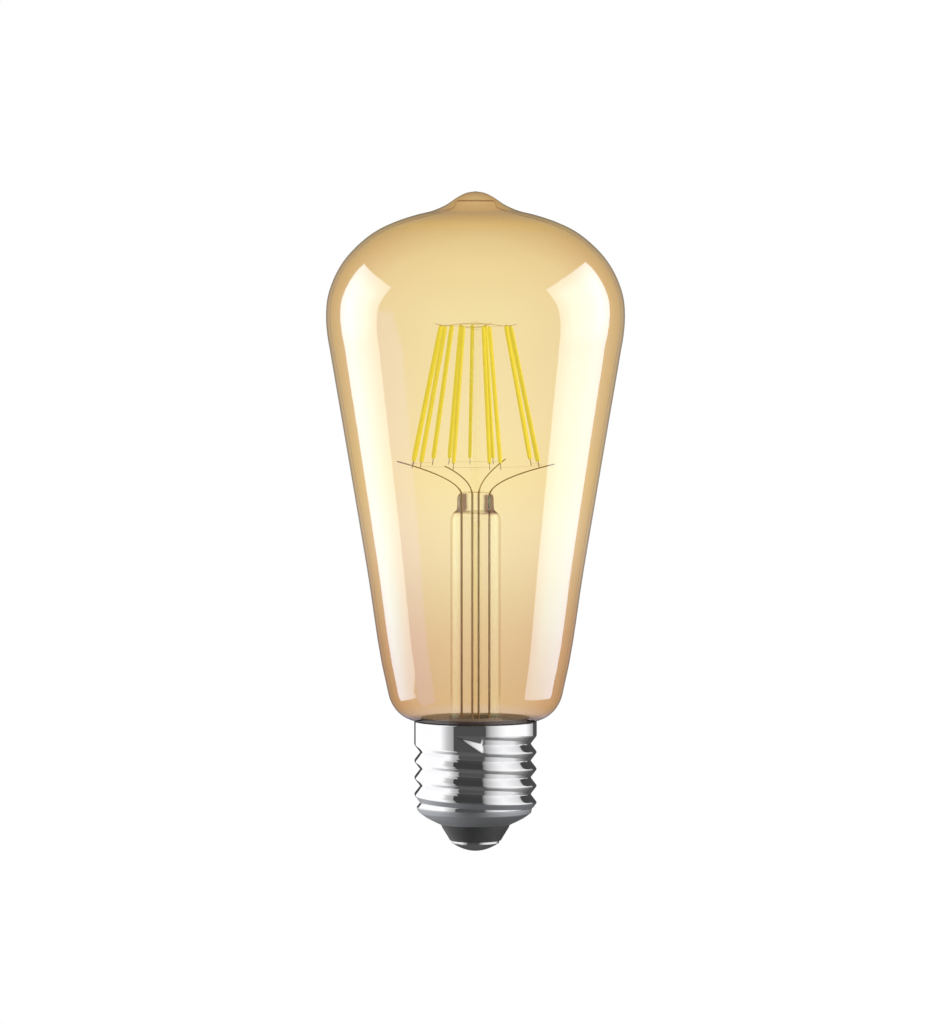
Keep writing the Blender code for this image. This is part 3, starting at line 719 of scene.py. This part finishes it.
def nickel_plate():
    """Bright nickel on the pressed shell, with handling haze. Where it turns in and faces down it is
    rougher and painted darker, as shade.
    """
    recipe = new_look("nickel_plate")
    haze = recipe.noise(220, 5, 0.6)
    lines = recipe.noise(2400, 2, 0.5, (1, 1, 8))
    height = recipe.height()
    normal = recipe.node("ShaderNodeTexCoord").outputs["Normal"]
    tilt = recipe.node("ShaderNodeSeparateXYZ", Vector=normal).outputs["Z"]
    underside = recipe.times(recipe.rescale(tilt, *UNDERSIDE_FACES),
                             recipe.rise(height, SHELL_SHADED_UNDERSIDE))
    turn_in = recipe.maths("MAXIMUM", underside, recipe.rise(height, SHELL_SHADED_FOOT))
    colour = recipe.mottle(haze, (0.93, 0.93, 0.94), (0.97, 0.97, 0.97))
    # Painted shade on the down-facing and turned-in nickel
    colour = recipe.mix(turn_in, colour, NICKEL_PAINTED_SHADE)
    rough = recipe.rescale(haze, 0.3, 0.75, 0.025, 0.05)
    duller = recipe.times(turn_in, TURN_IN_EXTRA_ROUGHNESS)
    rough = recipe.maths("ADD", rough, duller)
    fine = recipe.bump(lines, 0.000001, 0.5)
    return recipe.surface(colour, rough, fine, Metallic=1.0)


def vitrite():
    """Dark glassy insulator, moulded, with a faint flow texture."""
    recipe = new_look("vitrite")
    flow = recipe.noise(400, 5, 0.6)
    colour = recipe.mottle(flow, (0.03, 0.03, 0.031), (0.041, 0.041, 0.04))
    rough = recipe.vary(flow, 0.38, 0.52)
    skin = recipe.bump(recipe.noise(900, 3), 0.00003, 0.5)
    return recipe.surface(colour, rough, skin)


def contact_metal():
    """Bright tinned brass of the centre contact, with fine turning marks."""
    recipe = new_look("contact_metal")
    wear = recipe.noise(700, 5, 0.65)
    colour = recipe.mottle(wear, (0.74, 0.74, 0.74), (0.84, 0.84, 0.84))
    rough = recipe.vary(wear, 0.1, 0.18)
    marks = recipe.bump(recipe.noise(3000, 2, 0.5), 0.000003, 0.5)
    return recipe.surface(colour, rough, marks, Metallic=1.0)


def speckled(name, dark, light, scale, roughness, metallic=0.0, relief=0.00002):
    """A plain surface with fine two-tone grain and relief, for the pieces inside the cap."""
    recipe = new_look(name)
    grain = recipe.noise(scale, 5, 0.6)
    colour = recipe.mottle(grain, dark, light)
    rough = recipe.vary(grain, roughness - 0.08, roughness + 0.08)
    skin = recipe.bump(recipe.noise(scale * 2, 3), relief, 0.7)
    return recipe.surface(colour, rough, skin, Metallic=metallic)


# ------ glass and mount
def relook(obj, material, first, below=math.inf):
    """Gives another material to the faces from this one on that lie below a height."""
    obj.data.materials.append(material)
    index = len(obj.data.materials) - 1
    for polygon in obj.data.polygons[first:]:
        if polygon.center.z < below * MM:
            polygon.material_index = index


def make_envelope(glass, skin, cement):
    """Blown bulb with its wall, a hollow under the nipple and the neck in the cap."""
    outside = smooth_line(NIPPLE + DOME + SHOULDER + CONE + HEEL + NECK, 5)
    follows = [point for point in outside if point[0] > CAVITY_JOINS_DOME]
    inside = smooth_line(NIPPLE_CAVITY, 4) + inward(follows, GLASS_WALL)[2:]
    bulb = turned("glass_bulb", outside + inside[::-1], glass, ["glass_envelope"],
                  GLASS_STEPS)
    first = (len(outside) - 1) * GLASS_STEPS
    relook(bulb, skin, first)
    relook(bulb, cement, first, NECK_CEMENT_LEVEL)


def rounded_section(half_length, half_width, squareness, steps):
    """Points of a section between an ellipse (squareness 2) and a rectangle (far above 2)."""
    section = []
    for step in range(steps):
        angle = 2 * math.pi * step / steps
        cos, sin = math.cos(angle), math.sin(angle)
        reach = abs(cos / half_length) ** squareness + abs(sin / half_width) ** squareness
        scale = reach ** (-1 / squareness)
        section.append((cos * scale, sin * scale))
    return section


def press_ring(half_length, half_width, squareness, height, steps=64):
    """A level ring of the stem, with its long side along the press."""
    turn = math.radians(PRESS_AZIMUTH)
    cos, sin = math.cos(turn), math.sin(turn)
    return [(x * cos - y * sin, x * sin + y * cos, height)
            for x, y in rounded_section(half_length, half_width, squareness, steps)]


def flare_line(foot_radius, tube_radius, foot, steps=10):
    """The bell of the stem's foot, as (radius, height) from the tube down."""
    width, height = foot_radius - tube_radius, FLARE_TOP - foot
    angles = [math.pi / 2 * step / steps for step in range(steps + 1)]
    return [(tube_radius + width * (1 - math.cos(a)), FLARE_TOP - height * math.sin(a))
            for a in angles]


def make_stem(glass, skin, cement):
    """One skin over the press, the shoulder, the tube and the flare, and back up inside."""
    foot = STEM_LOW.z / MM
    sections = smooth_line(PRESS_SECTIONS, 3)[::-1]
    outer = [[(0, 0, sections[0][0])]]
    outer += [press_ring(a, b, n, z) for z, a, b, n in sections]
    outer += [press_ring(r, r, 2, z) for r, z in flare_line(FLARE_RADIUS, STEM_RADIUS, foot)]
    bore = STEM_RADIUS - STEM_WALL
    inner = [press_ring(r, r, 2, z) for r, z in flare_line(FLARE_RADIUS - STEM_WALL, bore, foot)]
    dome = [math.pi / 2 * step / 6 for step in range(6)]
    top = STEM_SHOULDER - STEM_WALL / 2
    inner = inner[::-1] + [
        press_ring(bore * math.cos(a), bore * math.cos(a), 2, top + STEM_WALL * math.sin(a))
        for a in dome
    ] + [[(0, 0, top + STEM_WALL)]]
    vertices, faces = rings_to_mesh(outer + inner)
    stem = new_piece("stem_flare_and_press", vertices, faces, glass, ["stem_glass"])
    relook(stem, skin, (len(outer) - 1) * len(outer[1]))
    relook(stem, cement, 0, STEM_CEMENT_LEVEL)


def make_rod_and_bead(glass):
    """The rod widens where it is melted onto the press. The bead is a squat drop on its top."""
    bottom, top = ROD_LOW.z / MM - ROD_SINK, BEAD_LOW.z / MM + ROD_OVERLAP
    foot = [(ROD_RADIUS + wider, bottom + above) for wider, above in ROD_FOOT]
    profile = [(0, bottom)] + foot + [(ROD_RADIUS, top), (0, top)]
    turned("support_rod_fine", profile[::-1], glass, ["support_rod"], 32)
    middle = (BEAD_HIGH.z + BEAD_LOW.z) / 2 / MM
    angles = [math.pi * step / 16 for step in range(17)]
    bead = [(BEAD_RADIUS * math.sin(a) ** BEAD_FULLNESS, middle + BEAD_HALF * math.cos(a))
            for a in angles]
    bead[0], bead[-1] = (0, middle + BEAD_HALF), (0, middle - BEAD_HALF)
    turned("hub_bead_fine", bead, glass, ["hub_bead"], 40)


def lead_line(index):
    """A lead from its pad on the board up through the stem, and outward in a sweep."""
    azimuth, start = LEADS[index]
    pad = (PAD_ORDER[index] - (len(LEADS) - 1) / 2) * PAD_PITCH
    upright = [(*polar(start, azimuth), height) for height in LEAD_STRAIGHT]
    points = smooth_line([(pad, 0, LEAD_FOOT)] + upright, 6)
    for step in range(LEAD_SWEEP_STEPS + 1):
        share = step / LEAD_SWEEP_STEPS
        distance = start + (LEAD_REACH - start) * share**2
        points.append((*polar(distance, azimuth), LEAD_EXIT + LEAD_RISE * share))
    return points


def make_leads(metal):
    """Each lead is thicker in the stem than in the free part that carries the filaments."""
    for index in range(len(LEADS)):
        name = f"lead_wire_{index + 1}"
        line = lead_line(index)
        slim = LEAD_TIP_RADIUS / LEAD_RADIUS
        above = [(point[2] - LEAD_EXIT) / LEAD_RISE for point in line]
        tapers = [1 + (slim - 1) * min(1, max(0, share / LEAD_SLIMS_OVER)) for share in above]
        wire(f"{name}_fine", line, LEAD_RADIUS, metal, [name], tapers=tapers)


def make_arc(name, circle, level, index, metal, replaced=()):
    """The level arc that joins a lead's three filaments and passes the lead itself."""
    azimuth, fan = LEADS[index][0], FANS[index]
    start, end = azimuth + min(0, *fan) - ARC_OVERHANG, azimuth + max(0, *fan) + ARC_OVERHANG
    points = [(*polar(circle, start + (end - start) * step / ARC_SPANS), level)
              for step in range(ARC_SPANS + 1)]
    wire(name, points, ARC_RADIUS, metal, replaced, 3)


def make_crown_wires(metal):
    """Spokes through the bead, each with a fine arc at both ends over the filament tops."""
    for key, pair in CROWN_LEADS.items():
        first, second = (LEADS[index][0] for index in pair)
        half = [(CROWN_REACH, CROWN_LEVEL + CROWN_TIP_LIFT), (TOP_CIRCLE, CROWN_LEVEL),
                (CROWN_INNER, CROWN_HEIGHTS[key])]
        points = [(*polar(distance, first), height) for distance, height in half]
        points += [(*polar(distance, second), height) for distance, height in half[::-1]]
        wire(f"crown_spoke_{key}", smooth_line(points, 6), SPOKE_RADIUS, metal,
             [f"crown_wire_{key}"], 3)
        for index in pair:
            make_arc(f"crown_arc_{index + 1}", TOP_CIRCLE, CROWN_LEVEL, index, metal)


def make_link_wires(metal):
    """Fine arcs that join the feet of each lead's filaments."""
    for index in range(len(LEADS)):
        name = f"link_wire_{index + 1}"
        make_arc(f"{name}_fine", FOOT_CIRCLE, LINK_LEVEL, index, metal, [name])


def strip_rings(stations, corner=3.2, steps=20):
    """Rings of a strip with rounded edges. stations are (height, width, thickness)."""
    return [[(x, y, height) for x, y in rounded_section(width / 2, thickness / 2, corner, steps)]
            for height, width, thickness in stations]


def capped_skin(rings):
    """A closed skin over the rings, with a pole at each end."""
    ends = [[(0, 0, ring[0][2])] for ring in (rings[0], rings[-1])]
    return rings_to_mesh([ends[0]] + rings + [ends[1]])


def filament_mesh(length, generator):
    """One strip with its coat slightly uneven, and a flat pin through each end."""
    stations = []
    for step in range(FILAMENT_SPANS + 1):
        share = step / FILAMENT_SPANS
        taper = min(1.0, FILAMENT_END + FILAMENT_ROUNDING * min(share, 1 - share))
        swell = 1 + generator.uniform(-FILAMENT_SWELL, FILAMENT_SWELL)
        stations.append((length - length * share, FILAMENT_WIDTH * taper * swell,
                         FILAMENT_THICKNESS * taper * swell))
    vertices, faces = capped_skin(strip_rings(stations))
    coated = len(faces)
    for low, high in ((-PIN_REACH, PIN_HOLD), (length - PIN_HOLD, length + PIN_TOP_REACH)):
        pin = [(z, PIN_WIDTH, PIN_THICKNESS) for z in (high, (low + high) / 2, low)]
        extra, more = capped_skin(strip_rings(pin, corner=6, steps=12))
        faces += [[corner + len(vertices) for corner in face] for face in more]
        vertices += extra
    return vertices, faces, coated


def make_filaments(coat, metal):
    """Twelve coated strips that lean inward, from the link arcs up to the crown's arcs."""
    generator = random.Random(RANDOM_SEED)
    low, high = LINK_LEVEL + FOOT_GAP, CROWN_LEVEL - TOP_GAP
    slope = (FOOT_CIRCLE - TOP_CIRCLE) / (CROWN_LEVEL - LINK_LEVEL)
    foot_radius = FOOT_CIRCLE - slope * FOOT_GAP
    length = math.hypot(high - low, slope * (high - low))
    number = 0
    for (azimuth, _), fan in zip(LEADS, FANS):
        for offset in fan:
            number += 1
            name = f"filament_{number:02d}"
            vertices, faces, coated = filament_mesh(length, generator)
            obj = new_piece(f"{name}_fine", vertices, faces, coat)
            relook(obj, metal, coated)
            turn = azimuth + offset + generator.uniform(-FILAMENT_DRIFT, FILAMENT_DRIFT)
            obj.location = [value * MM for value in (*polar(foot_radius, turn), low)]
            obj.rotation_euler = (0, -math.atan(slope), math.radians(turn))
            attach(obj, "root")  # again, because it has moved
            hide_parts(name)


# ------ cap
def groove_shape(off):
    """Depth of a rounded V groove: 1 in its valley, about 0 at the crests half a pitch off."""
    share = 2 * abs(off)
    depth = 1 - (math.hypot(share, THREAD_VALLEY) - THREAD_VALLEY) / THREAD_FLANK
    return (depth + math.hypot(depth, THREAD_CREST)) / 2


def groove_depth(azimuth, height):
    """How far the thread presses the sheet in, with the wedge that opens before it starts."""
    turn = (THREAD_HAND * (THREAD_START_AZIMUTH - azimuth) % 360) / 360
    before = 360 * (1 - turn)
    depth = 0.0
    if before < RUN_IN:
        open_share = 1 - before / RUN_IN
        top = THREAD_START_HEIGHT + THREAD_PITCH / 2
        middle = top - open_share * THREAD_PITCH / 2
        off = (height - middle) / (open_share * THREAD_PITCH + MM)
        if abs(off) < 0.5:
            depth = open_share * RUN_IN_DEPTH * groove_shape(off)
    while turn <= THREAD_TURNS + 1:
        off = (height - THREAD_START_HEIGHT + turn * THREAD_PITCH) / THREAD_PITCH
        ending = min(1.0, max(0.0, 1 + (turn - THREAD_TURNS) / THREAD_FADE))
        closed = groove_shape(off) if abs(off) < 0.5 else 0.0
        foot = min(1.0, max(0.0, height - THREAD_FOOT))
        opened = foot * min(THREAD_FOOT_DEPTH, groove_shape(max(off, 0.0)))
        depth = max(depth, closed + ending * (opened - closed))
        turn += 1
    return THREAD_DEPTH * depth


def make_shell(metal):
    """Pressed screw shell with its rolled rim, thread and turned-in foot, in real sheet."""
    count = round((SHELL_TOP - THREAD_BOTTOM) * SHELL_RINGS_PER_MM)
    wall_top = SHELL_TOP - SHELL_RIM_DROP
    wall = [(CREST_RADIUS, wall_top - (wall_top - THREAD_BOTTOM) * step / count)
            for step in range(count + 1)]
    rim = [(CREST_RADIUS - inset, SHELL_TOP - drop) for inset, drop in SHELL_RIM]
    turn_in = smooth_line([wall[-1]] + SHELL_TURN_IN, 6)[1:]
    outside = rim + wall + turn_in
    inside = inward(outside[2:], SHEET)
    azimuths = [360 * step / SHELL_STEPS for step in range(SHELL_STEPS)]
    rings = [[(*polar(radius - groove_depth(azimuth, height), azimuth), height)
              for azimuth in azimuths] for radius, height in outside + inside[::-1]]
    vertices, faces = rings_to_mesh(rings, closed=True)
    new_piece("screw_shell_fine", vertices, faces, metal, ["screw_shell"])


def make_insulator(material):
    """Dark cone between the shell's foot and the contact, with a bore for the rivet."""
    profile = [(INSULATOR_BORE, INSULATOR_TOP)] + INSULATOR_SEAT + smooth_line(INSULATOR_CONE, 4)
    profile += [(INSULATOR_LIP, INSULATOR_BOTTOM), (INSULATOR_BORE, INSULATOR_BOTTOM)]
    turned("insulator_cone", profile, material, ["base_insulator"], 128, True)


def make_contact(metal):
    """Shallow dome with a bright upright rim and the rivet through the insulator."""
    radii = [CONTACT_RADIUS * math.sin(math.pi / 2 * step / CONTACT_STEPS)
             for step in range(CONTACT_STEPS, 0, -1)]
    dome = [(radius, CONTACT_DOME * (radius / CONTACT_RADIUS) ** 2) for radius in radii]
    profile = CONTACT_RIVET + CONTACT_RIM + dome + [(0, 0)]
    turned("contact_dome", profile, metal, ["center_contact"])


def dress_cad_nodes(clear):
    """Gives each piece inside the cap that keeps its CAD shape a material."""
    materials = {"exhaust_tube": clear}
    for names, *look in CAP_LOOKS:
        materials.update(dict.fromkeys(names, speckled(*look)))
    for name, material in materials.items():
        node = NODES[name]
        if not node.material_slots:
            node.data.materials.append(material)
        for slot in node.material_slots:
            slot.material = material


# ------ studio
def panel_sides(recipe, direction, panel):
    """How far inside each edge of a panel a direction meets it, and how much it points there."""
    angle = math.radians(panel[0])
    ahead, aside, above = (recipe.dot(direction, axis) for axis in (
        (math.sin(angle), -math.cos(angle), 0), (math.cos(angle), math.sin(angle), 0), (0, 0, 1)))
    depth = recipe.maths("MAXIMUM", ahead, GRAZING)
    across = recipe.maths("DIVIDE", aside, depth)
    upright = recipe.maths("DIVIDE", above, depth)
    sides = []
    for (place, slope), sign, along, other in zip(
            panel[1:], (1, -1, 1, -1), (across, across, upright, upright),
            (upright, upright, across, across)):
        edge = recipe.maths("ADD", recipe.times(other, slope), place)
        sides.append(recipe.times(recipe.maths("SUBTRACT", along, edge), sign))
    return sides, recipe.rescale(ahead, 0.0, GRAZING)


def panel_mask(recipe, sides, facing, soften):
    """1 inside a panel and 0 outside, with edges this soft."""
    mask = facing
    for side in sides:
        mask = recipe.times(mask, recipe.rescale(side, 0.0, soften))
    return mask


def light_panel(recipe, direction, room, panel):
    """A bright panel with crisp edges and a brighter core."""
    sides, facing = panel_sides(recipe, direction, panel)
    core = panel_mask(recipe, sides, facing, PANEL_CORE_SOFTNESS)
    colour = recipe.mix(core, PANEL_EDGE, PANEL_CORE)
    return recipe.mix(panel_mask(recipe, sides, facing, PANEL_SOFTNESS), room, colour)


def glass_room(recipe, direction):
    """What mirrors in the glass: a dark room with the panels."""
    sides, facing = panel_sides(recipe, direction, DIM_PANEL)
    dim = panel_mask(recipe, sides, facing, DIM_SOFTNESS)
    room = recipe.mix(dim, ROOM_COLOUR, DIM_PANEL_COLOUR)
    room = light_panel(recipe, direction, room, LEFT_PANEL)
    return light_panel(recipe, direction, room, RIGHT_PANEL)


def metal_room(recipe, direction):
    """What mirrors in the cap: white from both sides, dark in front and right behind."""
    parts = recipe.node("ShaderNodeSeparateXYZ", Vector=direction)
    x, y, z = (parts.outputs[axis] for axis in "XYZ")
    steep = recipe.maths("ABSOLUTE", z)
    whites = []
    for narrow, stops in zip(ROOM_NARROWS, (ROOM_FRONT, ROOM_BACK)):
        width = recipe.maths("SUBTRACT", 1.0, recipe.times(steep, narrow))
        share = recipe.rescale(recipe.maths("DIVIDE", x, width), -ROOM_SPAN, ROOM_SPAN)
        whites.append(recipe.grey_ramp(
            share, [((place + ROOM_SPAN) / (2 * ROOM_SPAN), level) for place, level in stops]))
    falls = [recipe.grey_ramp(y, stops) for stops in (ROOM_BELOW, ROOM_ABOVE)]
    fall = recipe.mix(recipe.rescale(z, *ROOM_HORIZON), falls[0], falls[1])
    sloped = recipe.times(recipe.rescale(steep, *ROOM_STEEP),
                          recipe.rescale(x, *ROOM_RIGHT))
    white = recipe.mix(recipe.rescale(y, *ROOM_TURNS_BACK), whites[0], whites[1])
    white = recipe.mix(sloped, white, recipe.tinted(white, fall))
    white = recipe.mix(recipe.rescale(z, *ROOM_LOW), white,
                       recipe.tinted(white, ROOM_UNDERSIDE))
    dark = recipe.grey_ramp(recipe.rescale(z, -1.0, 1.0), ROOM_DARK)
    return recipe.mix(white, dark, ROOM_WHITE)


def make_world():
    """White behind the bulb. What reflects in the bulb is a studio with panels at both sides."""
    recipe = Recipe(bpy.data.worlds.new("studio"), "ShaderNodeOutputWorld")
    direction = recipe.node("ShaderNodeTexCoord").outputs["Generated"]
    path = recipe.node("ShaderNodeLightPath")
    room = recipe.mix(path.outputs["Is Singular Ray"], metal_room(recipe, direction),
                      glass_room(recipe, direction))
    reflected = recipe.maths("MINIMUM", path.outputs["Glossy Depth"], 1.0)
    to_camera = recipe.node("ShaderNodeVectorTransform", {
        "vector_type": "VECTOR", "convert_from": "WORLD", "convert_to": "CAMERA",
    }, Vector=direction)
    ahead = recipe.node("ShaderNodeSeparateXYZ", Vector=to_camera.outputs[0]).outputs["Z"]
    ahead = recipe.maths("ABSOLUTE", ahead)
    backdrop = recipe.mix(recipe.rescale(ahead, BACKDROP_ENDS[0], BACKDROP_ENDS[1]),
                          FLAG_COLOUR, (BACKDROP,) * 3)
    colour = recipe.mix(reflected, backdrop, room)
    colour = recipe.mix(path.outputs["Is Camera Ray"], colour, (1, 1, 1))
    colour = recipe.mix(path.outputs["Is Diffuse Ray"], colour, (AMBIENT,) * 3)
    background = recipe.node("ShaderNodeBackground", Color=colour, Strength=1.0)
    bpy.context.scene.world = recipe.finish(background)


def make_side_lamp(name, azimuth, power):
    """A soft lamp for the matt pieces. Mirror-like pieces see the panels of the studio."""
    lamp = bpy.data.lights.new(name, "AREA")
    lamp.shape = "RECTANGLE"
    lamp.size, lamp.size_y = LAMP_SIZE
    lamp.energy = power
    obj = placed(name, lamp)
    angle = math.radians(azimuth)
    middle = Vector((0, 0, BULB_HEIGHT / 2 * MM))
    obj.location = middle + Vector((math.sin(angle), -math.cos(angle), LAMP_RISE))
    obj.rotation_euler = (middle - obj.location).to_track_quat("-Z", "Y").to_euler()
    obj.visible_glossy = False
    obj.visible_transmission = False


def make_floor():
    """A pale floor that melts into the white behind it."""
    recipe = new_look("pale_floor")
    path = recipe.node("ShaderNodeLightPath")
    straight = recipe.maths("MAXIMUM", path.outputs["Is Camera Ray"],
                            path.outputs["Is Transmission Ray"])
    plain = recipe.node("ShaderNodeBsdfDiffuse", Color=(0.5, 0.5, 0.5, 1))
    white = recipe.node("ShaderNodeEmission", Color=(1, 1, 1, 1), Strength=1.0)
    material = recipe.finish(recipe.mix_shaders(straight, plain, white))
    profile = [(radius, 0) for radius in FLOOR_RADII]
    vertices, faces = rings_to_mesh(turned_rings(profile, FLOOR_STEPS))
    mesh = bpy.data.meshes.new("floor")
    mesh.from_pydata([(x * MM, y * MM, -FLOOR_DROP) for x, y, _ in vertices], [], faces)
    mesh.materials.append(material)
    floor = placed("floor", mesh)
    floor.visible_glossy = False
    floor.visible_transmission = False


def make_camera():
    data = bpy.data.cameras.new("camera")
    data.sensor_width = 36
    data.lens = data.sensor_width * CAMERA_DISTANCE / FRAME_HEIGHT
    data.clip_end = 100
    camera = placed("camera", data)
    tilt = math.radians(CAMERA_ELEVATION)
    target = Vector((0, 0, CAMERA_TARGET))
    back = Vector((0, -math.cos(tilt), math.sin(tilt)))
    camera.location = target + CAMERA_DISTANCE * back
    camera.rotation_euler = (-back).to_track_quat("-Z", "Y").to_euler()
    bpy.context.scene.camera = camera


def set_light_paths():
    """Enough bounces to see through the glass, the stem and the rod one behind the other."""
    scene = bpy.context.scene
    scene.view_settings.view_transform = "Standard"
    scene.cycles.max_bounces = 32
    scene.cycles.transmission_bounces = 32
    scene.cycles.transparent_max_bounces = 32


def main():
    set_light_paths()
    skin = inner_skin()
    clear = rod_glass()
    metal = lead_metal()
    cement = speckled(*NECK_CEMENT_LOOK)
    make_envelope(amber_glass(), skin, cement)
    make_stem(stem_glass(), skin, cement)
    make_rod_and_bead(clear)
    make_leads(metal)
    fine_metal = fine_wire_metal()
    make_crown_wires(fine_metal)
    make_link_wires(fine_metal)
    make_filaments(phosphor(), metal)
    make_shell(nickel_plate())
    make_insulator(vitrite())
    make_contact(contact_metal())
    dress_cad_nodes(clear)
    make_world()
    for name, (azimuth, power) in LAMP_POWERS.items():
        make_side_lamp(name, azimuth, power)
    make_floor()
    make_camera()


main()
